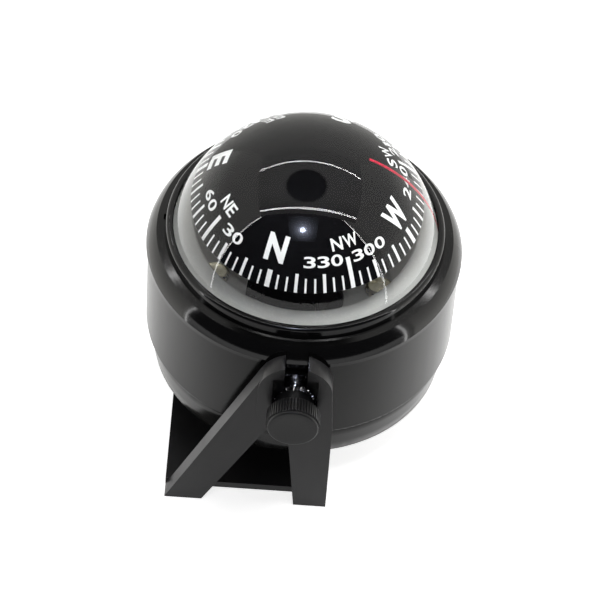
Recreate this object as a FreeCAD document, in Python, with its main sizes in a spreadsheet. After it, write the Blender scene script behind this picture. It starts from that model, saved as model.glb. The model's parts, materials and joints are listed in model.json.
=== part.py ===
import FreeCAD, Part
import math
import os
import re
import Sketcher

# Bracket-mount dome compass. Millimetres, +Z up. The origin is on the face that the bracket is screwed
# down on, straight below the middle of the pivot axis. The pivot axis runs along Y, the bow of the boat
# is towards +X, and the two sides are called near (-Y) and far (+Y).

SIZES = {
    # bracket
    "pivot_height": 38.5,
    "plate_inner": 39.0,
    "plate_thickness": 3.9,
    "pad_proud": 0.6,
    "base_thickness": 2.0,
    "foot_back": 29.8,
    "foot_width": 9.0,
    "foot_front": 9.4,
    "front_leg_back": 1.5,
    "window_top": 28.2,
    "window_apex_back": 6.4,
    "window_apex_front": 1.1,
    "head_radius": 8.7,
    "head_centre": 43.6,
    "far_head_centre": 38.3,
    "pad_centre": 36.6,
    "slot_width": 5.4,
    "recess_width": 10.6,
    "recess_top": 48.0,
    "far_recess_top": 44.4,
    "recess_depth": 2.9,
    "mount_hole_radius": 2.1,
    "mount_spacing_fore": 26.0,
    "mount_spacing_side": 16.0,
    "mount_centre": 10.0,
    "mount_sink_radius": 3.6,
    # case
    "case_radius": 37.6,
    "case_wall": 2.2,
    "case_bottom": 21.0,
    "case_step": 46.2,
    "rim_top": 46.9,
    "rim_inner": 32.9,
    "rim_outer": 36.6,
    "shoulder_top": 44.5,
    "shoulder_inner": 30.2,
    "floor_opening": 28.0,
    "boss_radius": 5.9,
    "boss_face": 38.2,
    "boss_inner": 30.5,
    "insert_radius": 4.2,
    "washer_radius": 6.5,
    "cover_bottom": 11.7,
    "cover_radius": 36.9,
    "cover_foot_radius": 35.6,
    "cover_wall": 1.8,
    "cover_floor": 1.7,
    "cover_screw_ring": 31.0,
    "cover_screw_turn": 45,
    "cover_boss_radius": 2.9,
    "cover_shank_radius": 0.9,
    "cover_head_radius": 1.85,
    # compensators
    "rod_radius": 1.4,
    "rod_bore_radius": 1.45,
    "rod_aside": 6.0,
    "athwart_rod_height": 19.2,
    "fore_rod_height": 16.0,
    "rod_magnet_along": 3.0,
    "rod_magnet_radius": 0.8,
    "rod_magnet_half": 2.3,
    "rib_half": 2.6,
    "rib_thickness": 1.6,
    # bezel and dome
    "bezel_radius": 38.0,
    "bezel_skirt_top": 47.4,
    "bezel_edge_radius": 35.6,
    "bezel_edge_top": 51.2,
    "band_round": 9.0,
    "bead_outer": 33.4,
    "bead_inner": 31.65,
    "bead_round": 0.95,
    "bead_top": 54.45,
    "bezel_inner_radius": 36.75,
    "bezel_under": 49.3,
    "notch_radius": 33.3,
    "dome_radius": 32.4,
    "dome_centre": 46.3,
    "dome_wall": 2.2,
    "flange_radius": 36.4,
    "flange_thickness": 1.4,
    "flange_screw_ring": 34.9,
    "flange_screw_radius": 0.8,
    # bowl
    "bowl_radius": 20.0,
    "bowl_wall": 1.4,
    "bowl_floor": 34.5,
    "bowl_under": 33.0,
    "bowl_hole": 6.4,
    "ledge_top": 49.6,
    "ledge_radius": 29.6,
    "plug_radius": 2.0,
    "filler_side": 11.2,
    "filler_far": 3.1,
    "bleed_side": -12.3,
    "bleed_far": 3.9,
    "diaphragm_radius": 8.6,
    "frame_half": 3.3,
    "frame_screw_side": 7.7,
    "frame_thickness": 1.7,
    "post_radius": 1.1,
    "pin_arc_radius": 29.25,
    "pin_aside": 4.2,
    "pin_wire_radius": 0.4,
    "pin_foot_angle": 6.0,
    "pin_arc_angle": 57.0,
    # card
    "card_radius": 28.4,
    "card_wall": 1.0,
    "card_rim": 59.0,
    "card_heading": -19.3,
    "holder_half_width": 6.7,
    "holder_half_length": 9.5,
    "holder_bottom": 40.0,
    "holder_height": 4.0,
    "card_magnet_aside": 4.9,
    "card_magnet_radius": 1.3,
    "card_magnet_half": 9.7,
    "jewel_radius": 1.3,
    "cup_hollow_radius": 1.36,
    # knobs
    "knob_radius": 6.35,
    "knob_face": 50.2,
    "knob_back": 45.35,
    "hub_radius": 4.6,
    "hub_end": 42.15,
    "low_knob_radius": 6.0,
    "low_knob_face": 46.3,
    "low_knob_back": 43.75,
    "stud_radius": 2.45,
    "stud_end": 31.2,
    "clamp_radius": 4.9,
    "insert_bore": 2.5,
    "knob_ribs": 48,
}

doc = FreeCAD.newDocument("compass")
sheet = doc.addObject("Spreadsheet::Sheet", "sizes")
for row, (alias, number) in enumerate(SIZES.items(), start=1):
    sheet.set("A%d" % row, alias)
    sheet.set("B%d" % row, str(number))
    sheet.setAlias("B%d" % row, alias)
doc.recompute()

NODES = []


def settle():
    """Works the document out again, and stops at a feature that failed."""
    doc.recompute()
    for thing in doc.Objects:
        if "Invalid" in thing.State or "Error" in thing.State:
            raise RuntimeError("%s (%s): %s" % (thing.Name, thing.Label, thing.State))


def value(text):
    """The number that an expression over the sheet comes to."""
    return float(sheet.evalExpression(text))


def vector(x, y, z):
    return FreeCAD.Vector(x, y, z)


def in_sheet(text):
    """The same expression, as an object other than the sheet has to write it."""
    def with_sheet(word):
        return "<<sizes>>." + word.group() if word.group() in SIZES else word.group()
    return re.sub(r"[a-z_]+", with_sheet, text)


def bind(item, prop, text):
    item.setExpression(prop, in_sheet(text))


def new_body(label):
    body = doc.addObject("PartDesign::Body", label)
    body.Label = label
    NODES.append(body)
    return body


def origin_item(body, role):
    return [item for item in body.Origin.OriginFeatures if item.Role == role][0]


def new_sketch(body, name, role, offset=None):
    sketch = body.newObject("Sketcher::SketchObject", name)
    sketch.AttachmentSupport = [(origin_item(body, role), "")]
    sketch.MapMode = "FlatFace"
    if offset:
        bind(sketch, "AttachmentOffset.Base.z", offset)
        settle()
    return sketch


def pin_down(sketch, edge, end, across, up, numbers):
    """Holds one end of an edge at two expressions measured from the sketch's origin."""
    for kind, text, number in (("DistanceX", across, numbers[0]), ("DistanceY", up, numbers[1])):
        index = sketch.addConstraint(Sketcher.Constraint(kind, -1, 1, edge, end, number))
        bind(sketch, "Constraints[%d]" % index, text)


def profile(body, name, role, points, offset=None):
    """A closed outline. A point is (across, up); with (radius, centre across, centre up) added, the edge
    that leaves it is an arc."""
    sketch = new_sketch(body, name, role, offset)
    places = [(value(point[0]), value(point[1])) for point in points]
    ends = []
    for index, point in enumerate(points):
        start = places[index]
        stop = places[(index + 1) % len(points)]
        if len(point) == 2:
            sketch.addGeometry(Part.LineSegment(vector(*start, 0), vector(*stop, 0)), False)
            ends.append((1, 2))
            continue
        radius, middle = value(point[2]), (value(point[3]), value(point[4]))
        first = math.atan2(start[1] - middle[1], start[0] - middle[0])
        last = math.atan2(stop[1] - middle[1], stop[0] - middle[0])
        forward = (last - first) % (2 * math.pi) <= math.pi + 1e-9
        circle = Part.Circle(vector(*middle, 0), vector(0, 0, 1), radius)
        turn = (first, last) if forward else (last, first)
        sketch.addGeometry(Part.ArcOfCircle(circle, *turn), False)
        ends.append((1, 2) if forward else (2, 1))
    for index in range(len(points)):
        after = (index + 1) % len(points)
        sketch.addConstraint(Sketcher.Constraint("Coincident", index, ends[index][1], after, ends[after][0]))
    for index, point in enumerate(points):
        pin_down(sketch, index, ends[index][0], point[0], point[1], places[index])
        if len(point) > 2:
            size = sketch.addConstraint(Sketcher.Constraint("Radius", index, value(point[2])))
            bind(sketch, "Constraints[%d]" % size, point[2])
    settle()
    return sketch


def circles(body, name, role, places, radius, offset=None):
    """A sketch of equal circles at (across, up) expressions."""
    sketch = new_sketch(body, name, role, offset)
    for index, (across, up) in enumerate(places):
        middle = (value(across), value(up))
        sketch.addGeometry(Part.Circle(vector(*middle, 0), vector(0, 0, 1), value(radius)), False)
        size = sketch.addConstraint(Sketcher.Constraint("Radius", index, value(radius)))
        bind(sketch, "Constraints[%d]" % size, radius)
        pin_down(sketch, index, 3, across, up, middle)
    settle()
    return sketch


def revolve(body, points, name="turned", role="XZ_Plane", axis="V_Axis"):
    outline = profile(body, name + "_outline", role, points)
    feature = body.newObject("PartDesign::Revolution", name)
    feature.Profile = outline
    feature.ReferenceAxis = (outline, [axis])
    feature.Angle = 360
    settle()
    return feature


def pad(body, sketch, length, name, reverse=False, middle=False):
    feature = body.newObject("PartDesign::Pad", name)
    feature.Profile = sketch
    bind(feature, "Length", length)
    feature.Reversed = reverse
    feature.Midplane = middle
    settle()
    return feature


def pocket(body, sketch, length, name, reverse=False, middle=False):
    """Cuts a sketch out of the body, and makes sure that something was cut."""
    before = body.Shape.Volume
    feature = body.newObject("PartDesign::Pocket", name)
    feature.Profile = sketch
    bind(feature, "Length", length)
    feature.Reversed = reverse
    feature.Midplane = middle
    settle()
    if body.Shape.Volume >= before - 1e-6:
        raise RuntimeError(body.Label + ": " + name + " cuts nothing")
    return feature


def polar(body, feature, count, name, role="Z_Axis"):
    """Repeats a cut round an axis of the body."""
    before = body.Shape.Volume
    pattern = body.newObject("PartDesign::PolarPattern", name)
    pattern.Originals = [feature]
    pattern.Axis = (origin_item(body, role), [""])
    pattern.Angle = 360
    pattern.Occurrences = count
    body.Tip = pattern
    settle()
    if abs(body.Shape.Volume - before) < 1e-6:
        raise RuntimeError(body.Label + ": " + name + " repeats nothing")
    return pattern


def round_edges(shape, radius, height):
    """Names of the full circles round Z of one radius at one height."""
    names = []
    for index, edge in enumerate(shape.Edges, start=1):
        curve = edge.Curve
        if isinstance(curve, Part.Circle) and abs(curve.Radius - radius) < 0.01:
            if abs(curve.Center.z - height) < 0.01:
                names.append("Edge%d" % index)
    return names


def soften(body, radius, height, size, name):
    """A fillet on the full circles round Z of one radius at one height."""
    tip = body.Tip
    names = round_edges(tip.Shape, SIZES[radius], SIZES[height])
    if not names:
        raise RuntimeError(body.Label + ": " + name + " found no edge")
    feature = body.newObject("PartDesign::Fillet", name)
    feature.Base = (tip, names)
    feature.Radius = size
    settle()
    return feature


def ring(label, inner, outer, low, high):
    """A plain flat ring round Z."""
    body = new_body(label)
    revolve(body, [(inner, low), (outer, low), (outer, high), (inner, high)])
    return body


def sides():
    """The two sides of the compass: name, and whether a pad that leaves the middle is reversed."""
    return (("near", False), ("far", True))


def away(side, distance):
    """Offset along -Y, the sketches' normal, of a distance out from the middle on one side."""
    return distance if side == "near" else "-(%s)" % distance


def make_bracket():
    """One casting: a base plate and two A-shaped side plates with open-topped eyes."""
    body = new_body("bracket")
    base = profile(body, "base_outline", "XY_Plane", [
        ("-foot_back", "-plate_inner"), ("foot_front", "-plate_inner"),
        ("foot_front", "plate_inner"), ("-foot_back", "plate_inner")])
    pad(body, base, "base_thickness", "base_plate")

    for side, outward in sides():
        place = away(side, "plate_inner")
        # The far eye is the lower one. The back leg's outer edge touches the head circle.
        head = "head_centre" if side == "near" else "far_head_centre"
        reach = "sqrt(foot_back^2 + %s^2)" % head
        lean = "(atan2(foot_back; %s) - asin(head_radius / %s))" % (head, reach)
        touch = ("-head_radius * cos(%s)" % lean, "%s + head_radius * sin(%s)" % (head, lean))
        legs = profile(body, side + "_leg_outline", "XZ_Plane", [
            ("-foot_back", "0"), ("foot_front", "0"), ("foot_front", head + " - 14"),
            ("head_radius", head, "head_radius", "0", head),
            ("0", head + " + head_radius", "head_radius", "0", head), touch], place)
        pad(body, legs, "plate_thickness", side + "_plate", outward)
        proud = profile(body, side + "_pad_outline", "XZ_Plane", [
            ("head_radius", "pad_centre"),
            ("head_radius", head, "head_radius", "0", head),
            ("0", head + " + head_radius", "head_radius", "0", head),
            ("-head_radius", head),
            ("-head_radius", "pad_centre", "head_radius", "0", "pad_centre"),
            ("0", "pad_centre - head_radius", "head_radius", "0", "pad_centre")], place)
        pad(body, proud, "plate_thickness + pad_proud", side + "_pad", outward)

        window = profile(body, side + "_window_outline", "XZ_Plane", [
            ("-(foot_back - foot_width) - 0.5", "-1"), ("front_leg_back + 0.1", "-1"),
            ("-window_apex_front", "window_top"), ("-window_apex_back", "window_top")], place)
        pocket(body, window, "plate_thickness + 1", side + "_window", not outward)

    slot = profile(body, "slot_outline", "XZ_Plane", [
        ("slot_width / 2", "pivot_height"), ("slot_width / 2", "head_centre + head_radius + 2"),
        ("-slot_width / 2", "head_centre + head_radius + 2"),
        ("-slot_width / 2", "pivot_height", "slot_width / 2", "0", "pivot_height"),
        ("0", "pivot_height - slot_width / 2", "slot_width / 2", "0", "pivot_height")])
    pocket(body, slot, "3 * plate_inner", "slots", False, True)
    face = "plate_inner + plate_thickness + pad_proud"
    for side, outward in sides():
        top = "recess_top" if side == "near" else "far_recess_top"
        recess = profile(body, side + "_recess_outline", "XZ_Plane", [
            ("recess_width / 2", "pivot_height"), ("recess_width / 2", top),
            ("-recess_width / 2", top),
            ("-recess_width / 2", "pivot_height", "recess_width / 2", "0", "pivot_height"),
            ("0", "pivot_height - recess_width / 2", "recess_width / 2", "0", "pivot_height")],
            away(side, face))
        pocket(body, recess, "recess_depth", side + "_recess", outward)

    places = []
    for fore in ("-mount_centre - mount_spacing_fore / 2", "-mount_centre + mount_spacing_fore / 2"):
        for across in ("-mount_spacing_side / 2", "mount_spacing_side / 2"):
            places.append((fore, across))
    holes = circles(body, "mount_hole_circles", "XY_Plane", places, "mount_hole_radius")
    pocket(body, holes, "base_thickness", "mount_holes", True)
    sinks = circles(body, "mount_sink_circles", "XY_Plane", places, "mount_sink_radius", "base_thickness")
    pocket(body, sinks, "base_thickness / 2", "mount_sinks")


def make_case():
    """The cup, with its rim, its shoulder for the bowl and the two pivot bosses."""
    body = new_body("case")
    inner = "case_radius - case_wall"
    revolve(body, [
        ("floor_opening", "case_bottom"), ("case_radius", "case_bottom"), ("case_radius", "case_step"),
        ("rim_outer", "case_step"), ("rim_outer", "rim_top"), ("rim_inner", "rim_top"),
        ("rim_inner", "shoulder_top"), ("shoulder_inner", "shoulder_top"),
        ("shoulder_inner", "shoulder_top - 1.5"), (inner, "shoulder_top - 5"),
        (inner, "case_bottom + case_wall"), ("floor_opening", "case_bottom + case_wall")], "cup")
    soften(body, "case_radius", "case_bottom", 0.8, "foot_round")
    axis = [("0", "pivot_height")]
    for side, outward in sides():
        place = away(side, "boss_inner")
        outline = circles(body, side + "_boss_circle", "XZ_Plane", axis, "boss_radius", place)
        pad(body, outline, "boss_face - boss_inner", side + "_boss", outward)
    bores = circles(body, "insert_circle", "XZ_Plane", axis, "insert_radius")
    pocket(body, bores, "2 * boss_face + 2", "insert_bores", False, True)
    for name, spots, size, top, depth in (
            ("flange", around("flange_screw_ring", 8), "flange_screw_radius", "rim_top", "3.4"),
            ("cover", cover_screw_places(), "cover_shank_radius", "case_bottom + case_wall", "case_wall")):
        hole = circles(body, name + "_hole_circles", "XY_Plane", spots, size, top)
        pocket(body, hole, depth, name + "_holes")


def make_bottom_cover():
    """The smaller step under the case. It carries the compensator rods in bearing ribs."""
    body = new_body("bottom_cover")
    floor = "cover_bottom + cover_floor"
    revolve(body, [
        ("0", "cover_bottom"), ("cover_foot_radius", "cover_bottom"), ("cover_radius", "case_bottom"),
        ("cover_radius - cover_wall", "case_bottom"), ("cover_foot_radius - cover_wall", floor),
        ("0", floor)], "cover_cup")
    spots = cover_screw_places()
    posts = circles(body, "screw_post_circles", "XY_Plane", spots, "cover_boss_radius", floor)
    pad(body, posts, "case_bottom - (%s)" % floor, "screw_posts")
    for name, radius, depth in (
            ("screw_hole", "cover_shank_radius + 0.05", "case_bottom - cover_bottom"),
            ("screw_sink", "cover_head_radius + 0.05", "1.2")):
        holes = circles(body, name + "_circles", "XY_Plane", spots, radius, "cover_bottom")
        pocket(body, holes, depth, name + "s", True)
    for name, role, middle, place in (
            ("athwart_rib_near", "XZ_Plane", "-rod_aside", "12"),
            ("athwart_rib_far", "XZ_Plane", "-rod_aside", "-14"),
            ("fore_rib_back", "YZ_Plane", "0", "-16"),
            ("fore_rib_front", "YZ_Plane", "0", "8")):
        low, high = middle + " - rib_half", middle + " + rib_half"
        rib = profile(body, name + "_outline", role, [
            (low, floor), (high, floor), (high, "case_bottom"), (low, "case_bottom")], place)
        pad(body, rib, "rib_thickness", name)
    for name, role, spot, end in (
            ("athwart", "XZ_Plane", ("-rod_aside", "athwart_rod_height"), "13"),
            ("fore", "YZ_Plane", ("0", "fore_rod_height"), "12")):
        bore = circles(body, name + "_bore_circle", role, [spot], "rod_bore_radius", end)
        pocket(body, bore, "2 * case_radius", name + "_bore")


def make_bezel():
    """The trim ring: a slightly convex sloping band, a flat top and a round bead close to the dome."""
    body = new_body("bezel")
    run, rise = "(bezel_radius - bezel_edge_radius)", "(bezel_edge_top - bezel_skirt_top)"
    slope = "sqrt(%s^2 + %s^2)" % (run, rise)
    depth = "sqrt(band_round^2 - %s^2 / 4) / %s" % (slope, slope)
    band_across = "(bezel_radius + bezel_edge_radius) / 2 - %s * %s" % (depth, rise)
    band_up = "(bezel_skirt_top + bezel_edge_top) / 2 - %s * %s" % (depth, run)
    revolve(body, [
        ("bezel_inner_radius", "case_step + 0.05"), ("bezel_radius", "case_step + 0.05"),
        ("bezel_radius", "bezel_skirt_top", "band_round", band_across, band_up),
        ("bezel_edge_radius", "bezel_edge_top"), ("bead_outer + 0.3", "bezel_edge_top + 0.3"),
        ("bead_outer", "bead_top - bead_round",
         "bead_round", "bead_outer - bead_round", "bead_top - bead_round"),
        ("bead_outer - bead_round", "bead_top"), ("bead_inner + 0.2", "bead_top"),
        ("bead_inner", "bead_top - 0.25"), ("bezel_inner_radius - 4.35", "bezel_under + 2"),
        ("bezel_inner_radius - 4", "bezel_under"), ("bezel_inner_radius", "bezel_under")], "ring")
    # A small slot in the flat top, where a blade lifts the trim ring off.
    notch = profile(body, "notch_outline", "XY_Plane", [
        ("-notch_radius - 0.75", "0.9"), ("-notch_radius + 0.75", "0.9"),
        ("-notch_radius + 0.75", "2.7"), ("-notch_radius - 0.75", "2.7")], "bead_top - 2")
    pocket(body, notch, "2.4", "notch")


def sphere_up(radius, height):
    """Expression for the radius of a dome-centred ball at a height."""
    return "sqrt((%s)^2 - (%s - dome_centre)^2)" % (radius, height)


def make_dome():
    """The clear dome with its clamped flange."""
    body = new_body("dome")
    top = "rim_top + flange_thickness"
    inside = "dome_radius - dome_wall"
    revolve(body, [
        ("0", "dome_centre + dome_radius", "dome_radius", "0", "dome_centre"),
        (sphere_up("dome_radius", "(%s)" % top), top), ("flange_radius", top), ("flange_radius", "rim_top"),
        (sphere_up(inside, "rim_top"), "rim_top", inside, "0", "dome_centre"),
        ("0", "dome_centre + " + inside)], "dome_shell")
    hole = circles(body, "hole_circle", "XY_Plane", [("flange_screw_ring", "0")], "flange_screw_radius", top)
    cut = pocket(body, hole, "flange_thickness", "hole")
    polar(body, cut, 8, "holes")


def make_inner_bowl():
    """The pale bowl: a cup with a wide flat ledge, a skirt and a clamped foot."""
    body = new_body("inner_bowl")
    revolve(body, [
        ("bowl_hole", "bowl_under"), ("bowl_radius + bowl_wall", "bowl_under"),
        ("bowl_radius + bowl_wall", "ledge_top - 1.4"), ("ledge_radius - 1.4", "ledge_top - 1.4"),
        ("ledge_radius - 1.4", "shoulder_top"), ("rim_inner - 0.1", "shoulder_top"),
        ("rim_inner - 0.1", "shoulder_top + 1.2"), ("ledge_radius", "shoulder_top + 1.2"),
        ("ledge_radius", "ledge_top"), ("bowl_radius", "ledge_top"), ("bowl_radius", "bowl_floor"),
        ("bowl_hole", "bowl_floor")], "bowl_cup")
    soften(body, "bowl_radius", "ledge_top", 0.9, "ledge_round")
    spots = [("filler_side", "filler_far"), ("bleed_side", "bleed_far")]
    plugs = circles(body, "plug_circles", "XY_Plane", spots, "plug_radius", "bowl_floor")
    pocket(body, plugs, "bowl_floor - bowl_under", "plug_holes")
    screws = circles(body, "frame_screw_circles", "XY_Plane", frame_screw_places(), "0.7", "bowl_floor")
    pocket(body, screws, "1.2", "frame_screw_holes")


def make_plug(name):
    """A slotted brass plug through the bowl's floor, put in from below."""
    label = name + "_plug"
    body = new_body(label)
    revolve(body, [
        ("0", "bowl_under - 1.8"), ("plug_radius + 0.7", "bowl_under - 1.8"),
        ("plug_radius + 0.7", "bowl_under - 0.4"), ("plug_radius", "bowl_under - 0.4"),
        ("plug_radius", "bowl_floor + 0.5"), ("plug_radius - 0.5", "bowl_floor + 1"),
        ("0", "bowl_floor + 1")])
    slot = profile(body, "slot_outline", "XY_Plane", [
        ("-3", "-0.4"), ("3", "-0.4"), ("3", "0.4"), ("-3", "0.4")], "bowl_under - 1.8")
    pocket(body, slot, "0.8", "slot", True)
    seal = new_body(label + "_seal")
    revolve(seal, [
        ("plug_radius", "bowl_under - 0.4"), ("plug_radius + 0.6", "bowl_under - 0.4"),
        ("plug_radius + 0.6", "bowl_under"), ("plug_radius", "bowl_under")])
    for item in (body, seal):
        bind(item, ".Placement.Base.x", name + "_side")
        bind(item, ".Placement.Base.y", name + "_far")


def make_diaphragm():
    """The rubber expansion diaphragm under the bowl's middle, and its clamp ring."""
    body = new_body("diaphragm")
    revolve(body, [
        ("0", "bowl_under - 2.6"), ("bowl_hole - 1.4", "bowl_under - 2.6"),
        ("bowl_hole - 0.2", "bowl_under - 0.8"), ("diaphragm_radius", "bowl_under - 0.8"),
        ("diaphragm_radius", "bowl_under"),
        ("bowl_hole - 0.8", "bowl_under"), ("bowl_hole - 2", "bowl_under - 1.8"), ("0", "bowl_under - 1.8")])
    ring("diaphragm_ring", "bowl_hole", "diaphragm_radius", "bowl_under - 2.2", "bowl_under - 0.8")


def make_pivot():
    """The bridge over the diaphragm, the pivot post, and the two screws that hold the bridge."""
    frame = new_body("pivot_frame")
    bar = profile(frame, "bar_outline", "XY_Plane", [
        ("-frame_half", "-10"), ("frame_half", "-10"),
        ("frame_half", "10"), ("-frame_half", "10")], "bowl_floor")
    top = "bowl_floor + frame_thickness"
    spots = frame_screw_places()
    pad(frame, bar, "frame_thickness", "bar")
    hole = circles(frame, "post_circle", "XY_Plane", [("0", "0")], "post_radius", "bowl_floor")
    pocket(frame, hole, "frame_thickness", "post_hole", True)
    screws = circles(frame, "screw_circles", "XY_Plane", spots, "0.7", "bowl_floor")
    pocket(frame, screws, "frame_thickness", "screw_holes", True)
    sinks = circles(frame, "sink_circles", "XY_Plane", spots, "1.4", top)
    pocket(frame, sinks, "0.7", "screw_sinks")
    screw_group("frame_screws", spots, "1.4", "0.7", "0.7", top, top + " - 0.7", "bowl_floor - 1.2", True)
    post = new_body("pivot_post")
    revolve(post, [
        ("0", "bowl_floor"), ("post_radius", "bowl_floor"), ("post_radius", "dome_centre - 3.3"),
        ("0.8", "dome_centre - 1.65"), ("0", "dome_centre - 0.05")])


def screw_group(label, places, head, head_height, shank, high, seat, low, head_up):
    """Equal screws with slotted heads as separate solids: places in XY, and heights of the head's top,
    of its seat and of the shank's end. With head_up false the heads are at the bottom."""
    pieces = []
    slots = []
    for index, (across, up) in enumerate(places):
        for name, radius, start, length in (
                ("head", head, seat if head_up else high, head_height),
                ("shank", shank, low if head_up else seat,
                 "abs((%s) - (%s))" % (seat, low))):
            piece = doc.addObject("Part::Cylinder", "%s_%s_%d" % (label, name, index))
            bind(piece, "Radius", radius)
            bind(piece, "Height", length)
            bind(piece, "Placement.Base.x", across)
            bind(piece, "Placement.Base.y", up)
            bind(piece, "Placement.Base.z", start)
            pieces.append(piece)
        slot = doc.addObject("Part::Box", "%s_slot_%d" % (label, index))
        bind(slot, "Length", "3 * (%s)" % head)
        bind(slot, "Width", "0.28 * (%s)" % head)
        bind(slot, "Height", "0.4 * (%s) + 1" % head_height)
        bind(slot, "Placement.Base.x", "(%s) - 1.5 * (%s)" % (across, head))
        bind(slot, "Placement.Base.y", "(%s) - 0.14 * (%s)" % (up, head))
        edge = "(%s) - 0.4 * (%s)" if head_up else "(%s) + 0.4 * (%s) - 0.4 * (%s) - 1"
        sizes = (high, head_height) if head_up else (high, head_height, head_height)
        bind(slot, "Placement.Base.z", edge % sizes)
        slots.append(slot)
    solid = doc.addObject("Part::MultiFuse", label + "_solids")
    solid.Shapes = pieces
    tools = doc.addObject("Part::MultiFuse", label + "_slots")
    tools.Shapes = slots
    group = doc.addObject("Part::Cut", label)
    group.Base = solid
    group.Tool = tools
    group.Label = label
    settle()
    NODES.append(group)
    return group


def around(radius, count, first="0"):
    """Expressions for places spaced evenly round Z."""
    turns = ["(%s + %g)" % (first, index * 360 / count) for index in range(count)]
    return [("%s * cos(%s)" % (radius, turn), "%s * sin(%s)" % (radius, turn)) for turn in turns]


def cover_screw_places():
    return around("cover_screw_ring", 4, "cover_screw_turn")


def frame_screw_places():
    return [("0", "frame_screw_side"), ("0", "-frame_screw_side")]


def make_screws():
    screw_group("flange_screws", around("flange_screw_ring", 8), "1.4", "0.9", "flange_screw_radius",
                "rim_top + flange_thickness + 0.9", "rim_top + flange_thickness", "rim_top - 3.2", True)
    screw_group("bottom_screws", cover_screw_places(), "cover_head_radius", "1.1", "cover_shank_radius",
                "cover_bottom + 0.1", "cover_bottom + 1.2", "case_bottom + case_wall - 0.2", False)


def make_card():
    """The card: a black dome dial on a float, with a pair of magnets in a holder below it."""
    dial = new_body("card_dial")
    inside = "card_radius - card_wall"
    revolve(dial, [
        ("0", "dome_centre + card_radius", "card_radius", "0", "dome_centre"),
        (sphere_up("card_radius", "card_rim"), "card_rim"),
        (sphere_up(inside, "card_rim"), "card_rim", inside, "0", "dome_centre"),
        ("0", "dome_centre + " + inside)], "dial_shell")
    lift = new_body("card_float")
    revolve(lift, [
        ("2.05", "dome_centre + 2.2"), ("5", "dome_centre + 2.2"), ("10", "card_rim + 2"),
        ("11", "card_rim + 8"), ("8", "dome_centre + 24.6"), ("0", "dome_centre + 24.6"),
        ("0", "dome_centre + 4.2"), ("2.05", "dome_centre + 4.2")])
    holder = new_body("magnet_holder")
    wide, deep = "holder_half_width", "holder_half_length"
    bar = profile(holder, "bar_outline", "XY_Plane", [
        ("-" + wide, "-" + deep), (wide, "-" + deep), (wide, deep), ("-" + wide, deep)], "holder_bottom")
    pad(holder, bar, "holder_height", "bar")
    sleeve_base = "holder_bottom + holder_height - 0.2"
    sleeve = circles(holder, "sleeve_circle", "XY_Plane", [("0", "0")], "5", sleeve_base)
    pad(holder, sleeve, "dome_centre + 2.2 - (%s)" % sleeve_base, "sleeve")
    well = circles(holder, "well_circle", "XY_Plane", [("0", "0")], "3.6", "dome_centre + 2.2")
    pocket(holder, well, "10", "well")
    middle = "holder_bottom + holder_height / 2"
    magnet_places = [("-card_magnet_aside", middle), ("card_magnet_aside", middle)]
    bores = circles(holder, "magnet_circles", "XZ_Plane", magnet_places, "card_magnet_radius")
    pocket(holder, bores, "3 * card_magnet_half", "magnet_bores", False, True)
    magnets = []
    for index, (across, up) in enumerate(magnet_places):
        magnet = doc.addObject("Part::Cylinder", "card_magnet_%d" % index)
        bind(magnet, "Radius", "card_magnet_radius")
        bind(magnet, "Height", "2 * card_magnet_half")
        magnet.Placement.Rotation = FreeCAD.Rotation(vector(1, 0, 0), 90)
        bind(magnet, "Placement.Base.x", across)
        bind(magnet, "Placement.Base.y", "card_magnet_half")
        bind(magnet, "Placement.Base.z", up)
        magnets.append(magnet)
    pair = doc.addObject("Part::MultiFuse", "card_magnets")
    pair.Shapes = magnets
    pair.Label = "card_magnets"
    NODES.append(pair)
    for item in (holder, pair):
        item.Placement.Rotation = FreeCAD.Rotation(vector(0, 0, 1), SIZES["card_heading"])
    cup = new_body("jewel_cup")
    revolve(cup, [
        ("1.1", "dome_centre - 0.75"), ("2.6", "dome_centre - 0.75"), ("2.6", "dome_centre + 2.15"),
        ("2", "dome_centre + 2.15"), ("2", "dome_centre + 4.1"), ("0", "dome_centre + 4.1"),
        ("0", "dome_centre + cup_hollow_radius", "cup_hollow_radius", "0", "dome_centre"),
        ("1.1", "dome_centre - sqrt(cup_hollow_radius^2 - 1.1^2)")])
    jewel = new_body("jewel")
    revolve(jewel, [
        ("0", "dome_centre"),
        ("0.9", "dome_centre - sqrt(jewel_radius^2 - 0.9^2)", "jewel_radius", "0", "dome_centre"),
        ("0", "dome_centre + jewel_radius")])


def make_lubber_pin():
    """The red lubber pin: an arc of wire between the card and the dome, standing in the ledge."""
    pin = doc.addObject("Part::Torus", "lubber_pin")
    pin.Label = "lubber_pin"
    bind(pin, "Radius1", "sqrt(pin_arc_radius^2 - pin_aside^2)")
    bind(pin, "Radius2", "pin_wire_radius")
    bind(pin, "Angle3", "pin_arc_angle")
    raised = FreeCAD.Rotation(vector(0, 1, 0), -SIZES["pin_foot_angle"])
    pin.Placement.Rotation = raised.multiply(FreeCAD.Rotation(vector(1, 0, 0), 90))
    bind(pin, "Placement.Base.y", "pin_aside")
    bind(pin, "Placement.Base.z", "dome_centre")
    NODES.append(pin)


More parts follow.
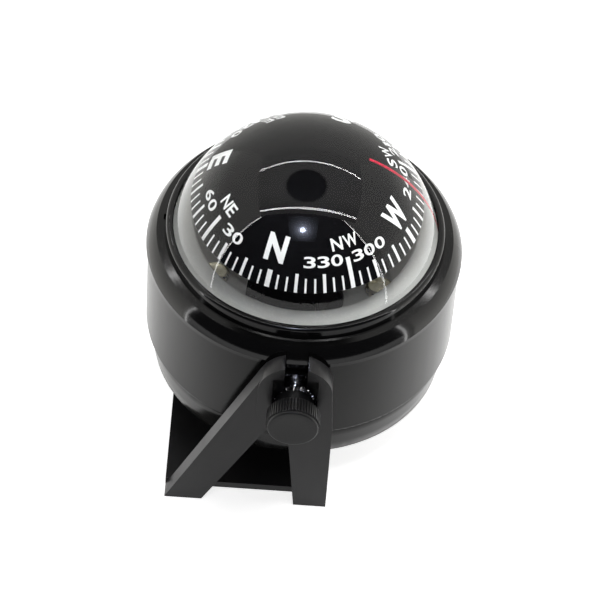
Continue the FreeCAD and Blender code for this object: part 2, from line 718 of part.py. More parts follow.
def make_thumb_screw(side, size, turn):
    """A knurled knob with its stud, made on the Y axis and turned to its side."""
    body = new_body(side + "_thumb_screw")
    face, back, radius = size + "_face", size + "_back", size + "_radius"
    points = [
        ("-" + face, "0"), ("-" + face, radius + " - 0.5"), ("-%s + 0.5" % face, radius),
        ("-%s - 0.6" % back, radius), ("-" + back, radius + " - 0.6"),
        ("-" + back, "hub_radius"), ("-hub_end", "hub_radius"),
        ("-hub_end", "stud_radius"), ("-stud_end - 0.4", "stud_radius"),
        ("-stud_end", "stud_radius - 0.4"), ("-stud_end", "0")]
    revolve(body, points, "knob", "YZ_Plane", "H_Axis")
    rib = profile(body, "rib_outline", "XZ_Plane", [
        ("-0.22", radius + " + 0.3"), ("0.22", radius + " + 0.3"), ("0.1", radius + " - 0.28"),
        ("-0.1", radius + " - 0.28")], face + " - 0.5")
    cut = pocket(body, rib, "%s - %s - 0.5" % (face, back), "rib")
    polar(body, cut, SIZES["knob_ribs"], "ribs", "Y_Axis")
    body.Placement.Rotation = FreeCAD.Rotation(vector(0, 0, 1), turn)
    bind(body, ".Placement.Base.z", "pivot_height")


def make_washers(side, turn):
    """On each side: the clamp washer in the bracket's recess, the pivot washer on the case's boss and the
    threaded insert in the boss."""
    recess_floor = "plate_inner + plate_thickness + pad_proud - recess_depth"
    for name, inner, outer, low, high in (
            ("clamp_washer", "stud_radius + 0.08", "clamp_radius", recess_floor + " + 0.05",
             "hub_end - 0.03"),
            ("pivot_washer", "insert_bore + 0.1", "washer_radius", "boss_face", "plate_inner - 0.05"),
            ("pivot_insert", "insert_bore", "insert_radius", "boss_inner + 0.1", "boss_face - 0.1")):
        body = new_body(side + "_" + name)
        revolve(body, [
            ("-(%s)" % low, inner), ("-(%s)" % high, inner), ("-(%s)" % high, outer), ("-(%s)" % low, outer)],
            name, "YZ_Plane", "H_Axis")
        body.Placement.Rotation = FreeCAD.Rotation(vector(0, 0, 1), turn)
        bind(body, ".Placement.Base.z", "pivot_height")


def make_compensators():
    """Two slotted brass rods at right angles in the bottom cover, each with a small magnet across it."""
    for name, turn, height, across, start, length in (
            ("fore_aft", 0, "fore_rod_height", "0", "-36", "47"),
            ("athwart", -90, "athwart_rod_height", "-rod_aside", "-35.9", "48.7")):
        rod = new_body(name + "_compensator_rod")
        outline = circles(rod, "rod_circle", "YZ_Plane", [("0", "0")], "rod_radius", start)
        pad(rod, outline, length, "rod")
        slot = profile(rod, "slot_outline", "YZ_Plane", [
            ("-2", "-0.25"), ("2", "-0.25"), ("2", "0.25"), ("-2", "0.25")], start)
        pocket(rod, slot, "0.9", "slot", True)
        place = [("rod_magnet_along", "0")]
        hole = circles(rod, "magnet_circle", "XY_Plane", place, "rod_magnet_radius")
        pocket(rod, hole, "6", "magnet_hole", False, True)
        magnet = new_body(name + "_compensator_magnet")
        outline = circles(magnet, "magnet_circle", "XY_Plane", place, "rod_magnet_radius")
        pad(magnet, outline, "2 * rod_magnet_half", "magnet", False, True)
        for item in (rod, magnet):
            item.Placement.Rotation = FreeCAD.Rotation(vector(0, 0, 1), turn)
            bind(item, ".Placement.Base.x", across)
            bind(item, ".Placement.Base.z", height)


make_bracket()
make_case()
make_bottom_cover()
make_bezel()
make_dome()
ring("dome_gasket", "ledge_radius + 0.9", "rim_inner - 0.1", "shoulder_top + 1.2", "rim_top")
make_inner_bowl()
make_plug("filler")
make_plug("bleed")
make_diaphragm()
make_pivot()
make_screws()
make_card()
make_lubber_pin()
for side_name, size_name, side_turn in (("near", "knob", 0), ("far", "low_knob", 180)):
    make_thumb_screw(side_name, size_name, side_turn)
    make_washers(side_name, side_turn)
make_compensators()
doc.recompute()

for item in doc.Objects:
    if "Invalid" in item.State or "Error" in item.State:
        raise RuntimeError("%s: %s" % (item.Label, item.State))
os.makedirs("parts", exist_ok=True)
for node in NODES:
    if node.Shape.isNull() or not node.Shape.isValid():
        raise RuntimeError(node.Label + " has no valid shape")
    node.Shape.exportStep("parts/%s.step" % node.Label)
print(len(NODES), "nodes written")
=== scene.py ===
import json
import math

import bmesh
import bpy
from mathutils import Matrix, Vector


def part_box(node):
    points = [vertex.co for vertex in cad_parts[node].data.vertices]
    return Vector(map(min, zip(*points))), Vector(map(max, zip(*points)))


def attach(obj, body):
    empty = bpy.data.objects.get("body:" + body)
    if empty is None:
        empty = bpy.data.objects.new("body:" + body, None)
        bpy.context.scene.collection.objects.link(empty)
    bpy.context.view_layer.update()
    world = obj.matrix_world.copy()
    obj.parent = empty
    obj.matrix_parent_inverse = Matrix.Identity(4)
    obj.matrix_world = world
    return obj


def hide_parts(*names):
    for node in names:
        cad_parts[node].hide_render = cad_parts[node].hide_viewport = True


# A bracket-mount dome compass on a white sheet, inside a small white light box. Metres, in the CAD frame:
# +Z up, the pivot axis along Y, the near side at -Y and the bow side at +X.

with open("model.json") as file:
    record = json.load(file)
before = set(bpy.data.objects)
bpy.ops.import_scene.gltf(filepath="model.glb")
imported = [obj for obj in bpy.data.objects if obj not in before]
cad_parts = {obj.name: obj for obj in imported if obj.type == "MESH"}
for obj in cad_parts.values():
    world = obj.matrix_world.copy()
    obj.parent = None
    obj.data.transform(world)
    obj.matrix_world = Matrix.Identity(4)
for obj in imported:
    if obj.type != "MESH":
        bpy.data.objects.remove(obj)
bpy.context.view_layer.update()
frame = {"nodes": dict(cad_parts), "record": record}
MM = 0.001

# ---------------------------------------------------------------- driving sizes
DOME_RADIUS = 32.4 * MM
BOX_LEFT, BOX_RIGHT = -0.134, 0.147
BOX_FRONT, BOX_BACK, BOX_TOP = -0.055, 0.175, 0.226
OPENING_RIGHT = 0.102          # the open front stops there; a plain wall fills the rest
LAMP_ROWS = ((-0.039, -0.132, 0.144), (0.098, -0.133, 0.139))   # y, first x and last x of each row
LAMP_HALF, LAMP_PITCH = 0.0028, 0.0056
EDGE_HALF = 0.005              # half the width of the bright strips at the sides of the open front
HOLE = (-0.005, 0.022, BOX_TOP)
FAR_LAMP, FAR_REACH = (-0.008, -0.102, BOX_TOP), 0.04

CENTRE = Vector((0, 0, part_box("dome")[1].z - DOME_RADIUS))
CARD_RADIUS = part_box("card_dial")[1].z - CENTRE.z
PIVOT_Z = sum(corner.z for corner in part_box("near_thumb_screw")) / 2
HUB_END = 42.15 * MM


# ---------------------------------------------------------------- node helpers
class Recipe:
    """Builds one material's node tree, a node at a time."""

    def __init__(self, name):
        self.material = bpy.data.materials.new(name)
        self.material.use_nodes = True
        self.tree = self.material.node_tree
        self.tree.nodes.clear()
        self.out = self.tree.nodes.new("ShaderNodeOutputMaterial")

    def node(self, kind, settings=None, **inputs):
        made = self.tree.nodes.new(kind)
        for key, setting in (settings or {}).items():
            setattr(made, key, setting)
        for key, given in inputs.items():
            socket = made.inputs[int(key[1:])] if key[0] == "i" and key[1:].isdigit() else made.inputs[
                key.replace("_", " ")]
            if isinstance(given, bpy.types.NodeSocket):
                self.tree.links.new(given, socket)
            else:
                socket.default_value = given
        return made

    def place(self):
        return self.node("ShaderNodeTexCoord").outputs["Object"]

    def noise(self, scale, detail=3.0, roughness=0.5, vector=None):
        made = self.node("ShaderNodeTexNoise", None, Vector=vector or self.place(), Scale=scale,
                         Detail=detail, Roughness=roughness)
        return made.outputs["Fac"]

    def math(self, operation, first, second=0.0, third=0.0):
        made = self.node("ShaderNodeMath", {"operation": operation}, i0=first, i1=second, i2=third)
        return made.outputs[0]

    def spread(self, source, low, high, start=0.35, stop=0.65):
        """Maps a noise to a range of values."""
        made = self.node("ShaderNodeMapRange", None, Value=source)
        made.inputs["From Min"].default_value = start
        made.inputs["From Max"].default_value = stop
        made.inputs["To Min"].default_value = low
        made.inputs["To Max"].default_value = high
        return made.outputs["Result"]

    def blend(self, share, first, second):
        made = self.node("ShaderNodeMix", {"data_type": "RGBA"})
        self.tree.links.new(share, made.inputs["Factor"])
        for key, given in (("A", first), ("B", second)):
            socket = [s for s in made.inputs if s.name == key and s.type == "RGBA"][0]
            if isinstance(given, bpy.types.NodeSocket):
                self.tree.links.new(given, socket)
            else:
                socket.default_value = (*given, 1)
        return [s for s in made.outputs if s.type == "RGBA"][0]

    def bump(self, height, distance):
        made = self.node("ShaderNodeBump", None, Height=height, Distance=distance, Strength=1.0)
        return made.outputs["Normal"]

    def finish(self, shader):
        self.tree.links.new(shader, self.out.inputs["Surface"])
        return self.material


def shade(colour, share):
    return tuple(min(1.0, part * share) for part in colour)


def moulded(name, colour, roughness, grain=0.35 * MM, depth=0.01 * MM, specular=0.5, mottle=0.12):
    """Moulded plastic: a fine spark-eroded grain, faint flow mottling and uneven polish."""
    r = Recipe(name)
    place = r.place()
    mottled = r.spread(r.noise(90, 4, 0.6, place), 0, 1)
    tone = r.blend(mottled, shade(colour, 1 - mottle), shade(colour, 1 + mottle))
    speck = r.spread(r.noise(1 / (1.7 * grain), 2, 0.5, place), 0, 1, 0.55, 0.75)
    tone = r.blend(r.math("MULTIPLY", speck, 0.25), tone, shade(colour, 1.5))
    polish = r.spread(r.noise(60, 5, 0.65, place), roughness * 0.88, min(1, roughness * 1.12))
    height = r.noise(1 / grain, 3, 0.6, place)
    shader = r.node("ShaderNodeBsdfPrincipled", None, Base_Color=tone, Roughness=polish,
                    Normal=r.bump(height, depth))
    shader.inputs["Specular IOR Level"].default_value = specular
    return r.finish(shader.outputs[0])


def machined(name, colour, roughness, along=(1, 1, 1)):
    """Turned or drawn metal with fine marks and uneven tarnish."""
    r = Recipe(name)
    stretched = r.node("ShaderNodeMapping", None, Vector=r.place())
    stretched.inputs["Scale"].default_value = along
    lines = r.noise(900, 4, 0.6, stretched.outputs[0])
    tarnish = r.spread(r.noise(160, 4, 0.6), 0, 1)
    tone = r.blend(tarnish, shade(colour, 0.8), shade(colour, 1.05))
    polish = r.spread(lines, roughness * 0.7, roughness * 1.4)
    shader = r.node("ShaderNodeBsdfPrincipled", None, Base_Color=tone, Metallic=1.0, Roughness=polish,
                    Normal=r.bump(lines, 0.004 * MM))
    return r.finish(shader.outputs[0])


def clear(name):
    """Clear acrylic and oil. Lamps reach what is behind it directly."""
    r = Recipe(name)
    handled = r.spread(r.noise(120, 4, 0.6), 0.0, 0.022, 0.45, 0.75)
    tint = r.blend(r.noise(40, 2, 0.5), (0.975, 0.985, 0.975), (0.99, 0.99, 0.99))
    body = r.node("ShaderNodeBsdfPrincipled", None, Base_Color=tint, Roughness=handled, IOR=1.45)
    body.inputs["Transmission Weight"].default_value = 1.0
    lets_through = r.node("ShaderNodeBsdfTransparent", None, Color=(0.92, 0.93, 0.92, 1))
    path = r.node("ShaderNodeLightPath")
    mixed = r.node("ShaderNodeMixShader", None, i0=path.outputs["Is Shadow Ray"], i1=body.outputs[0],
                   i2=lets_through.outputs[0])
    return r.finish(mixed.outputs[0])


def jewel_red(name):
    """A synthetic ruby: dark red, polished, with faint growth bands."""
    r = Recipe(name)
    bands = r.spread(r.noise(2500, 2, 0.5), 0, 1)
    tone = r.blend(bands, (0.35, 0.01, 0.05), (0.5, 0.02, 0.08))
    shader = r.node("ShaderNodeBsdfPrincipled", None, Base_Color=tone, Roughness=0.05)
    shader.inputs["Transmission Weight"].default_value = 0.4
    return r.finish(shader.outputs[0])


PAINTS = {
    "bracket_charcoal": moulded("bracket_charcoal", (0.008, 0.0076, 0.009), 0.34, specular=0.42),
    "case_grey": moulded("case_grey", (0.006, 0.0058, 0.0056), 0.19, depth=0.003 * MM, specular=0.26),
    "bezel_black": moulded("bezel_black", (0.004, 0.004, 0.0042), 0.11, depth=0.001 * MM, specular=0.42,
                           mottle=0.2),
    "bowl_pale_grey": moulded("bowl_pale_grey", (0.53, 0.535, 0.52), 0.4, mottle=0.03, specular=0.05),
    "card_black": moulded("card_black", (0.003, 0.003, 0.0037), 0.6, depth=0.002 * MM, specular=0.02),
    "frame_black": moulded("frame_black", (0.004, 0.004, 0.0045), 0.5, specular=0.04),
    "lubber_red": moulded("lubber_red", (0.55, 0.012, 0.045), 0.4, grain=0.2 * MM, specular=0.1),
    "print_white": moulded("print_white", (0.90, 0.91, 0.92), 0.5, grain=0.15 * MM, mottle=0.02,
                           specular=0.05),
    "knob_black": moulded("knob_black", (0.006, 0.0059, 0.0066), 0.40, grain=0.3 * MM, depth=0.012 * MM,
                          specular=0.42),
    "rubber": moulded("rubber", (0.013, 0.0125, 0.012), 0.7, depth=0.02 * MM),
    "brass": machined("brass", (0.64, 0.60, 0.43), 0.30),
    "steel": machined("steel", (0.40, 0.40, 0.41), 0.4),
    "polished_steel": machined("polished_steel", (0.75, 0.75, 0.77), 0.09),
    "magnet_steel": machined("magnet_steel", (0.03, 0.03, 0.032), 0.35, (1, 0.05, 1)),
    "dome_clear": clear("dome_clear"),
    "jewel_ruby": jewel_red("jewel_ruby"),
}


# ---------------------------------------------------------------- mesh helpers
def add_object(name, mesh):
    made = bpy.data.objects.new(name, mesh)
    bpy.context.scene.collection.objects.link(made)
    return made


def from_lists(name, points, faces):
    mesh = bpy.data.meshes.new(name)
    mesh.from_pydata(points, [], faces)
    mesh.update()
    return add_object(name, mesh)


def tidy_mesh(piece, sharp=30):
    """Points every face outwards and shades it smooth up to its sharp edges."""
    work = bmesh.new()
    work.from_mesh(piece.data)
    bmesh.ops.remove_doubles(work, verts=work.verts, dist=1e-7)
    bmesh.ops.recalc_face_normals(work, faces=work.faces)
    for face in work.faces:
        face.smooth = True
    work.to_mesh(piece.data)
    work.free()
    piece.data.set_sharp_from_angle(angle=math.radians(sharp))
    return piece


def wear(piece, paint):
    """Gives a piece its material."""
    piece.data.materials.clear()
    piece.data.materials.append(PAINTS[paint])
    return piece


def arc(across, up, radius, first, last, count):
    """Points of an arc in a lathe outline, angles in degrees from the outward direction."""
    turns = [math.radians(first + (last - first) * index / count) for index in range(count + 1)]
    return [(across + radius * math.cos(turn), up + radius * math.sin(turn)) for turn in turns]


def lathe(name, outline, steps=192, relief=None):
    """A closed outline of (radius, height) turned round Z; relief(radius, height, turn) changes a radius."""
    points, rings = [], []
    for radius, height in outline:
        if radius < 1e-9:
            rings.append([len(points)] * steps)
            points.append((0, 0, height))
            continue
        ring = []
        for index in range(steps):
            turn = 2 * math.pi * index / steps
            here = relief(radius, height, turn) if relief else radius
            ring.append(len(points))
            points.append((here * math.cos(turn), here * math.sin(turn), height))
        rings.append(ring)
    faces = []
    for low, high in zip(rings, rings[1:] + rings[:1]):
        for index in range(steps):
            after = (index + 1) % steps
            corners = []
            for corner in (low[index], low[after], high[after], high[index]):
                if corner not in corners:
                    corners.append(corner)
            if len(corners) > 2:
                faces.append(corners)
    return from_lists(name, points, faces)


# ---------------------------------------------------------------- dome
def make_dome():
    """The dome and the oil under it as one clear solid, so that the card looks as large as it does through a
    filled compass. Its underside is hidden inside the bowl's walls and the gasket."""
    bowl_low, bowl_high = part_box("inner_bowl")
    gasket_low, gasket_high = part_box("dome_gasket")
    flange_low, flange_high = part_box("dome")[0].z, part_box("dome")[0].z + 1.4 * MM
    flange_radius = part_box("dome")[1].x
    in_wall, in_ledge, in_gasket = 20.7 * MM, 28.9 * MM, 32.3 * MM
    dip_inner, dip_outer, dip_edge, dip_depth = 4.6 * MM, 5.8 * MM, 6.8 * MM, 1.8 * MM
    floor, ledge, seat = bowl_low.z + 0.6 * MM, bowl_high.z - 0.7 * MM, gasket_high.z - 0.6 * MM
    start = math.degrees(math.asin((flange_high - CENTRE.z) / DOME_RADIUS))
    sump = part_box("diaphragm")[1].z - 0.2 * MM
    outline = [(0, sump - dip_depth), (dip_inner, sump - dip_depth), (dip_outer, sump), (dip_edge, sump),
               (dip_edge, floor), (in_wall, floor), (in_wall, ledge), (in_ledge, ledge), (in_ledge, seat),
               (in_gasket, seat), (in_gasket, flange_low), (flange_radius, flange_low),
               (flange_radius, flange_high)]
    outline += arc(0, CENTRE.z, DOME_RADIUS, start, 90, 90)
    outline[-1] = (0, CENTRE.z + DOME_RADIUS)
    dome = tidy_mesh(lathe("dome_and_oil", outline, 256), 20)
    wear(dome, "dome_clear")
    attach(dome, "case")
    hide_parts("dome")


# ---------------------------------------------------------------- print on the card
NORTH = math.radians(-108.3)   # where the card's N stands at rest
INK = 0.04 * MM                # how far the print stands proud
SUNK = 0.12 * MM               # how far its underside lies in the card


def on_card(heading, height_angle, across, up, lift):
    """A point of the card's ball, from a heading, an elevation and an offset in the plane there."""
    turn = NORTH - math.radians(heading)
    rise = math.radians(height_angle)
    out = Vector((math.cos(rise) * math.cos(turn), math.cos(rise) * math.sin(turn), math.sin(rise)))
    east = Vector((-math.sin(turn), math.cos(turn), 0))
    north = out.cross(east)
    offset = east * across + north * up
    angle = offset.length / CARD_RADIUS
    way = out if angle < 1e-9 else out * math.cos(angle) + offset.normalized() * math.sin(angle)
    return CENTRE + way * (CARD_RADIUS + lift)


def letter_mesh(letter, width, height, weight):
    """A flat letter of that size, centred, cut fine enough to bend over the card, as a bmesh."""
    curve = bpy.data.curves.new("letter", "FONT")
    curve.body = letter
    curve.offset = weight
    curve.resolution_u = 8
    holder = bpy.data.objects.new("letter", curve)
    mesh = bpy.data.meshes.new_from_object(holder)
    work = bmesh.new()
    work.from_mesh(mesh)
    bpy.data.objects.remove(holder)
    bpy.data.curves.remove(curve)
    bpy.data.meshes.remove(mesh)
    bmesh.ops.remove_doubles(work, verts=work.verts, dist=1e-5)
    low = [min(v.co[axis] for v in work.verts) for axis in (0, 1)]
    high = [max(v.co[axis] for v in work.verts) for axis in (0, 1)]
    for v in work.verts:
        v.co.x = ((v.co.x - low[0]) / (high[0] - low[0]) - 0.5) * width
        v.co.y = ((v.co.y - low[1]) / (high[1] - low[1]) - 0.5) * height
    for axis, size in ((0, width), (1, height)):
        cuts = max(2, int(size / (0.5 * MM)))
        for index in range(1, cuts):
            normal = Vector((1, 0, 0)) if axis == 0 else Vector((0, 1, 0))
            spot = normal * (index / cuts - 0.5) * size
            geometry = work.verts[:] + work.edges[:] + work.faces[:]
            bmesh.ops.bisect_plane(work, geom=geometry, dist=1e-8, plane_co=spot, plane_no=normal)
    return work


class Ink:
    """Collects patches of print as thin closed solids on the card's ball."""

    def __init__(self):
        self.points, self.faces = [], []

    def patch(self, work, place):
        """Adds a flat bmesh: place(x, y, lift) says where a point of it goes."""
        work.verts.index_update()
        count = len(work.verts)
        base = len(self.points)
        for lift in (INK, -SUNK):
            self.points += [tuple(place(v.co.x, v.co.y, lift)) for v in work.verts]
        for face in work.faces:
            ring = [base + v.index for v in face.verts]
            self.faces.append(ring)
            self.faces.append([corner + count for corner in reversed(ring)])
        for edge in work.edges:
            if len(edge.link_faces) == 1:
                a, b = (base + v.index for v in edge.verts)
                self.faces.append([a, b, b + count, a + count])
        work.free()

    def letter(self, letter, heading, height_angle, width, height, weight):
        self.patch(letter_mesh(letter, width, height, weight),
                   lambda x, y, lift: on_card(heading, height_angle, x, y, lift))

    def word(self, word, heading, height_angle, widths, height, gap, weight):
        """Letters side by side along a parallel of the card, each standing upright."""
        ring = CARD_RADIUS * math.cos(math.radians(height_angle))
        total = sum(widths) + gap * (len(word) - 1)
        start = -total / 2
        for letter, width in zip(word, widths):
            shift = math.degrees((start + width / 2) / ring)
            self.letter(letter, heading - shift, height_angle, width, height, weight)
            start += width + gap

    def tick(self, heading, low, high, width):
        work = bmesh.new()
        cuts = 8
        rows = []
        for index in range(cuts + 1):
            rows.append([work.verts.new((side * width / 2, index / cuts, 0)) for side in (-1, 1)])
        for (a, b), (d, c) in zip(rows, rows[1:]):
            work.faces.new((a, b, c, d))
        self.patch(work, lambda x, y, lift: on_card(heading, low + (high - low) * y, x, 0, lift))


def make_card_print():
    """Degrees every 5, numbers every 30 and the eight winds, in white on the black card."""
    ink = Ink()
    for heading in range(0, 360, 5):
        if heading % 90 == 0:
            top, width = 34.9, 1.15
        elif heading % 45 == 0:
            top, width = 41.3, 1.0
        elif heading % 15 == 0:
            top, width = 35.5, 0.72
        else:
            top, width = 33.5, 0.46
        ink.tick(heading, 26.65, top, width * MM)
    for heading, up in ((30, 40.5), (60, 39.9), (120, 40.2), (150, 40.2), (210, 40.2), (240, 40.2),
                        (300, 40.6), (330, 41.0)):
        word = str(heading)
        widths = [1.25 * MM if letter == "1" else 2.7 * MM for letter in word]
        ink.word(word, heading, up, widths, 2.6 * MM, 0.4 * MM, 0.018)
    wide = {"N": 2.6, "E": 2.1, "S": 2.4, "W": 3.3}
    for word, heading, up in (("NE", 46.6, 47.4), ("SE", 136, 47.2), ("SW", 223.5, 46.9),
                              ("NW", 314.3, 48.2)):
        ink.word(word, heading, up, [wide[letter] * MM for letter in word], 2.95 * MM, 0.4 * MM, 0.02)
    for letter, heading, up, width in (("N", 0, 45.2, 4.7), ("E", 89.8, 42.7, 4.3), ("S", 180, 44.8, 4.6),
                                       ("W", 269.6, 43.5, 6.6)):
        ink.letter(letter, heading, up, width * MM, 6.3 * MM, 0.04)
    piece = tidy_mesh(from_lists("card_print", ink.points, ink.faces), 40)
    wear(piece, "print_white")
    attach(piece, "card")


# ---------------------------------------------------------------- thumb screws
KNOB_RIBS = 54
THREAD_PITCH = 0.8 * MM


def make_thumb_screw(side, sign, depth):
    """A knurled knob with a smooth cap, its hub, and a threaded stud."""
    low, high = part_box(side + "_thumb_screw")
    radius = (high.z - low.z) / 2
    face = max(-low.y, high.y)
    end = abs(high.y) if sign < 0 else abs(low.y)
    cap_edge = radius - 0.42 * MM
    back = face - depth
    groove = face - 0.75 * MM
    rim = radius - 0.02 * MM

    def relief(across, height, turn):
        if across < radius - 0.1 * MM:
            return across
        return across - 0.3 * MM * max(0.0, -math.cos(KNOB_RIBS * turn)) ** 0.6

    outline = [(0, face - 0.12 * MM), (cap_edge - 1.6 * MM, face - 0.06 * MM)]
    outline += arc(cap_edge - 0.4 * MM, face - 0.4 * MM, 0.4 * MM, 90, 0, 6)
    outline += [(cap_edge, groove), (rim, groove - 0.15 * MM), (rim, back + 0.5 * MM),
                (rim - 0.5 * MM, back), (4.6 * MM, back), (4.6 * MM, HUB_END), (2.2 * MM, HUB_END),
                (2.2 * MM, HUB_END - 0.1 * MM), (0, HUB_END - 0.1 * MM)]
    knob = lathe(side + "_knob", outline, KNOB_RIBS * 8, relief)

    root, crest = 2.12 * MM, 2.43 * MM
    length = HUB_END + 0.05 * MM - end
    rows = int(length / (0.08 * MM))

    def thread(across, height, turn):
        if across < root:
            return across
        phase = (height / THREAD_PITCH - turn / (2 * math.pi)) % 1
        return root + (crest - root) * (1 - abs(2 * phase - 1)) * min(1, (height - end) / (0.5 * MM))

    outline = [(0, end), (root - 0.3 * MM, end)]
    outline += [(root, end + length * index / rows) for index in range(1, rows + 1)]
    outline += [(0, end + length)]
    stud = lathe(side + "_stud", outline, 64, thread)
    turn = Matrix.Rotation(math.radians(90 if sign < 0 else -90), 4, "X")
    for piece in (knob, stud):
        piece.data.transform(Matrix.Translation((0, 0, PIVOT_Z)) @ turn)
        tidy_mesh(piece, 35)
        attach(piece, side + "_thumb_screw")
    wear(knob, "knob_black")
    wear(stud, "polished_steel")
    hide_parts(side + "_thumb_screw")


def make_clamp_washer(side):
    """A bright toothed lock washer under the knob's hub."""
    low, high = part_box(side + "_clamp_washer")
    inner, outer = 2.53 * MM, (high.z - low.z) / 2 + 0.25 * MM

    def teeth(across, height, turn):
        if across < outer - 1.3 * MM:
            return across
        lean = turn * 19 + (height - low.y) / MM * 2.4
        ragged = 0.18 * math.sin(turn * 7 + 1) + 0.12 * math.sin(turn * 31 + height / MM * 5)
        return across - (0.75 * abs(math.sin(lean / 2)) ** 1.3 + ragged + 0.3) * MM * (across / outer) ** 8

    edge = 0.02 * MM
    middle, half = (low.y + high.y) / 2, (high.y - low.y) / 2 - edge
    outline = [(inner, low.y + edge), (outer - half, low.y + edge)]
    outline += arc(outer - half, middle, half, -80, 80, 12)
    outline += [(outer - half, high.y - edge), (inner, high.y - edge)]
    washer = lathe(side + "_lock_washer", outline, 288, teeth)
    turn = Matrix.Rotation(math.radians(-90), 4, "X")
    washer.data.transform(Matrix.Translation((0, 0, PIVOT_Z)) @ turn)
    tidy_mesh(washer, 25)
    wear(washer, "polished_steel")
    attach(washer, side + "_clamp")
    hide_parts(side + "_clamp_washer")


# ---------------------------------------------------------------- the CAD pieces that show as they are
def soften(node, width, segments=2, angle=25):
    """Rounds the sharp edges of a CAD piece by modifiers, without touching its mesh."""
    piece = frame["nodes"][node]
    weld = piece.modifiers.new("weld", "WELD")
    weld.merge_threshold = 1e-6
    bevel = piece.modifiers.new("bevel", "BEVEL")
    bevel.width = width
    bevel.segments = segments
    bevel.limit_method = "ANGLE"
    bevel.angle_limit = math.radians(angle)
    bevel.harden_normals = True
    bevel.use_clamp_overlap = True
    return piece


def dress_cad():
    """Every CAD piece takes the material that the record names for it."""
    for entry in frame["record"]["subparts"]:
        piece = frame["nodes"][entry["node"]]
        for slot in piece.material_slots:
            slot.material = PAINTS[entry["material_slot"]]
    soften("bracket", 0.35 * MM, 3)
    soften("bottom_cover", 0.25 * MM)
    soften("magnet_holder", 0.3 * MM)


# ---------------------------------------------------------------- studio
def panel(name, corners, emission):
    """A flat glowing panel that the camera doesn't see, only light does."""
    made = from_lists(name, corners, [tuple(range(len(corners)))])
    made.data.materials.append(emission)
    made.visible_camera = False
    made.visible_shadow = False
    return made


def glow(name, colour, strength):
    r = Recipe(name)
    made = r.node("ShaderNodeEmission", None, Color=(*colour, 1), Strength=strength)
    return r.finish(made.outputs[0])


def make_light_box():
    """Walls and ceiling of a small light box, with two rows of lamps, a round hole and an open front."""
    left, right, front, back, top = BOX_LEFT, BOX_RIGHT, BOX_FRONT, BOX_BACK, BOX_TOP
    r = Recipe("box_wall")
    height = r.node("ShaderNodeSeparateXYZ", None, Vector=r.place()).outputs["Z"]
    wall = r.finish(r.node("ShaderNodeEmission", None, Color=(1.0, 0.99, 0.95, 1),
                           Strength=r.spread(height, 1.6, 0.8, 0.03, 0.12)).outputs[0])
    for name, x in (("left", left), ("right", right)):
        panel("box_side_" + name, [(x, front, 0), (x, back, 0), (x, back, top), (x, front, top)], wall)
    plain = glow("box_plain_wall", (1.0, 0.99, 0.95), 0.7)
    panel("box_back", [(left, back, 0), (right, back, 0), (right, back, top), (left, back, top)], plain)
    panel("box_front_right", [(OPENING_RIGHT, front, 0), (right, front, 0), (right, front, top),
                              (OPENING_RIGHT, front, top)], plain)

    r = Recipe("box_ceiling")
    place = r.place()
    split = r.node("ShaderNodeSeparateXYZ", None, Vector=place)
    hole = r.node("ShaderNodeVectorMath", {"operation": "DISTANCE"}, i0=place, i1=HOLE)
    open_share = r.spread(hole.outputs["Value"], 0.0, 1.0, 0.043, 0.050)
    dim = r.spread(split.outputs["Y"], 0.5, 1.0, front, 0.0)
    light = r.node("ShaderNodeEmission", None, Color=(1.0, 0.99, 0.96, 1),
                   Strength=r.math("MULTIPLY", r.math("MULTIPLY", open_share, dim), 0.62))
    panel("box_ceiling", [(left, front, top), (right, front, top), (right, back, top), (left, back, top)],
          r.finish(light.outputs[0]))

    r = Recipe("lamp_row")
    split = r.node("ShaderNodeSeparateXYZ", None, Vector=r.place())
    wave = r.math("SINE", r.math("MULTIPLY", split.outputs["X"], 2 * math.pi / LAMP_PITCH))
    dots = r.spread(wave, 7.0, 26.0, -1, 1)
    lamps = r.finish(r.node("ShaderNodeEmission", None, Color=(1, 1, 1, 1), Strength=dots).outputs[0])
    height = top - 0.004
    for number, (y, start, stop) in enumerate(LAMP_ROWS):
        low, high = y - LAMP_HALF, y + LAMP_HALF
        row = panel("lamp_row_%d" % number, [(start, low, height), (stop, low, height), (stop, high, height),
                                             (start, high, height)], lamps)
        row.visible_diffuse = False
    edge = glow("box_edge", (1, 1, 1), 10.0)
    y = front - 0.001
    for name, x in (("left", left + 0.003), ("right", OPENING_RIGHT)):
        low, high = x - EDGE_HALF, x + EDGE_HALF
        strip = panel("box_edge_" + name, [(low, y, 0), (high, y, 0), (high, y, top), (low, y, top)], edge)
        strip.visible_diffuse = False

    r = Recipe("far_lamp")
    gap = r.node("ShaderNodeVectorMath", {"operation": "DISTANCE"}, i0=r.place(), i1=FAR_LAMP)
    near = r.math("EXPONENT", r.math("MULTIPLY", r.math("POWER", gap.outputs["Value"], 2.0), -1 / 0.005 ** 2))
    far = r.math("EXPONENT", r.math("MULTIPLY", gap.outputs["Value"], -1 / 0.011))
    strength = r.math("ADD", r.math("MULTIPLY", near, 150.0), r.math("MULTIPLY", far, 15.0))
    light = r.node("ShaderNodeEmission", None, Color=(0.72, 0.78, 1, 1), Strength=strength)
    lamp = r.finish(light.outputs[0])
    west, east, south, north = (FAR_LAMP[axis] + side * FAR_REACH for axis in (0, 1) for side in (-1, 1))
    star = panel("far_lamp", [(west, south, top), (east, south, top), (east, north, top), (west, north, top)],
                 lamp)
    star.visible_diffuse = False


def area(name, place, size, power, target):
    """A soft lamp that lights pale pieces but isn't mirrored in the glossy ones."""
    data = bpy.data.lights.new(name, "AREA")
    data.shape = "RECTANGLE"
    data.size, data.size_y = size
    data.energy = power
    lamp = bpy.data.objects.new(name, data)
    bpy.context.scene.collection.objects.link(lamp)
    lamp.location = place
    lamp.rotation_euler = (Vector(target) - Vector(place)).to_track_quat("-Z", "Y").to_euler()
    lamp.visible_glossy = False


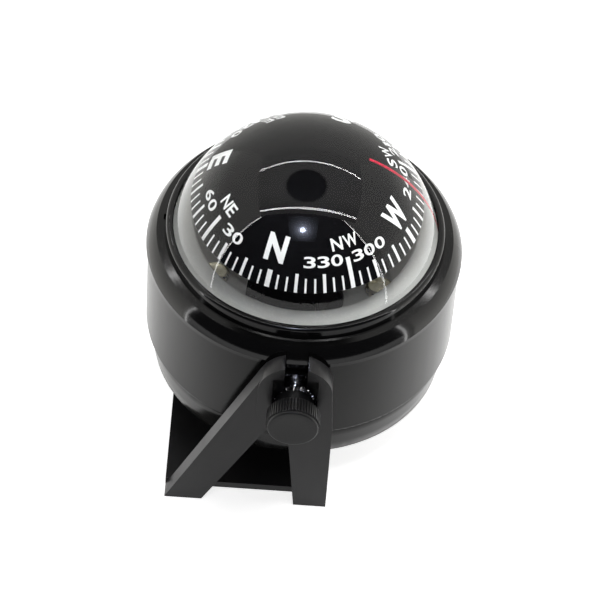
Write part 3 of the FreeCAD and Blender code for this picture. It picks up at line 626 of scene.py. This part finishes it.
def make_floor():
    """A white sheet that fades into the background away from the object."""
    r = Recipe("white_sheet")
    place = r.place()
    tone = r.blend(r.noise(40, 4, 0.6, place), (0.93, 0.93, 0.935), (0.97, 0.97, 0.97))
    paper = r.node("ShaderNodeBsdfDiffuse", None, Color=tone)
    far = r.node("ShaderNodeVectorMath", {"operation": "LENGTH"}, i0=place)
    share = r.spread(far.outputs["Value"], 0, 1, 0.13, 0.30)
    pale = r.node("ShaderNodeEmission", None, Color=(1, 1, 1, 1), Strength=1.0)
    split = r.node("ShaderNodeSeparateXYZ", None, Vector=place)
    path = r.node("ShaderNodeLightPath")
    ahead = r.spread(split.outputs["Y"], 0.12, 0.62, BOX_FRONT - 0.02, BOX_FRONT + 0.025)
    seen = r.math("MAXIMUM", ahead, r.math("MULTIPLY", path.outputs["Is Camera Ray"], 0.80))
    lift = r.node("ShaderNodeEmission", None, Color=(1, 1, 1, 1), Strength=seen)
    near = r.node("ShaderNodeAddShader", None, i0=paper.outputs[0], i1=lift.outputs[0])
    mixed = r.node("ShaderNodeMixShader", None, i0=share, i1=near.outputs[0], i2=pale.outputs[0])
    sheet = r.finish(mixed.outputs[0])
    size = 3.0
    floor = from_lists("floor", [(-size, -size, 0), (size, -size, 0), (size, size, 0), (-size, size, 0)],
                       [(0, 1, 2, 3)])
    floor.data.materials.append(sheet)


def make_world():
    """Pale to the camera, and the dark room outside the box to everything else."""
    world = bpy.data.worlds.new("room")
    bpy.context.scene.world = world
    world.use_nodes = True
    tree = world.node_tree
    tree.nodes.clear()
    out = tree.nodes.new("ShaderNodeOutputWorld")
    room = tree.nodes.new("ShaderNodeBackground")
    room.inputs["Color"].default_value = (0.03, 0.03, 0.035, 1)
    pale = tree.nodes.new("ShaderNodeBackground")
    pale.inputs["Color"].default_value = (1, 1, 1, 1)
    path = tree.nodes.new("ShaderNodeLightPath")
    mixed = tree.nodes.new("ShaderNodeMixShader")
    tree.links.new(path.outputs["Is Camera Ray"], mixed.inputs[0])
    tree.links.new(room.outputs[0], mixed.inputs[1])
    tree.links.new(pale.outputs[0], mixed.inputs[2])
    tree.links.new(mixed.outputs[0], out.inputs["Surface"])


def make_camera():
    """High on the near side, with the horizon a little off level."""
    elevation, turn, roll = math.radians(49.32), math.radians(-0.54), math.radians(4.26)
    aim = Vector((-0.05 * MM, 0, 26.31 * MM))
    back = Vector((0, -math.cos(elevation), math.sin(elevation)))
    right = Vector((1, 0, 0))
    up = back.cross(right)
    tilted_right = right * math.cos(roll) + up * math.sin(roll)
    tilted_up = up * math.cos(roll) - right * math.sin(roll)
    place = aim + back * 0.8
    pose = Matrix((tilted_right, tilted_up, back)).transposed().to_4x4()
    pose.translation = place
    data = bpy.data.cameras.new("camera")
    data.lens = 195.8
    data.sensor_width = 36
    data.clip_start, data.clip_end = 0.05, 20
    camera = bpy.data.objects.new("camera", data)
    bpy.context.scene.collection.objects.link(camera)
    camera.matrix_world = Matrix.Rotation(turn, 4, "Z") @ pose
    bpy.context.scene.camera = camera


dress_cad()
make_dome()
make_card_print()
make_thumb_screw("near", -1, 4.85 * MM)
make_thumb_screw("far", 1, 2.55 * MM)
make_clamp_washer("near")
make_clamp_washer("far")
make_light_box()
area("over_front", (0.06, BOX_FRONT + 0.01, BOX_TOP - 0.01), (0.14, 0.03), 0.17, (0.01, -0.01, 0.03))
area("over_back", (0, 0.10, BOX_TOP - 0.01), (0.24, 0.03), 0.12, (0, 0, 0.03))
make_floor()
make_world()
make_camera()
bpy.context.scene.view_settings.view_transform = "Standard"
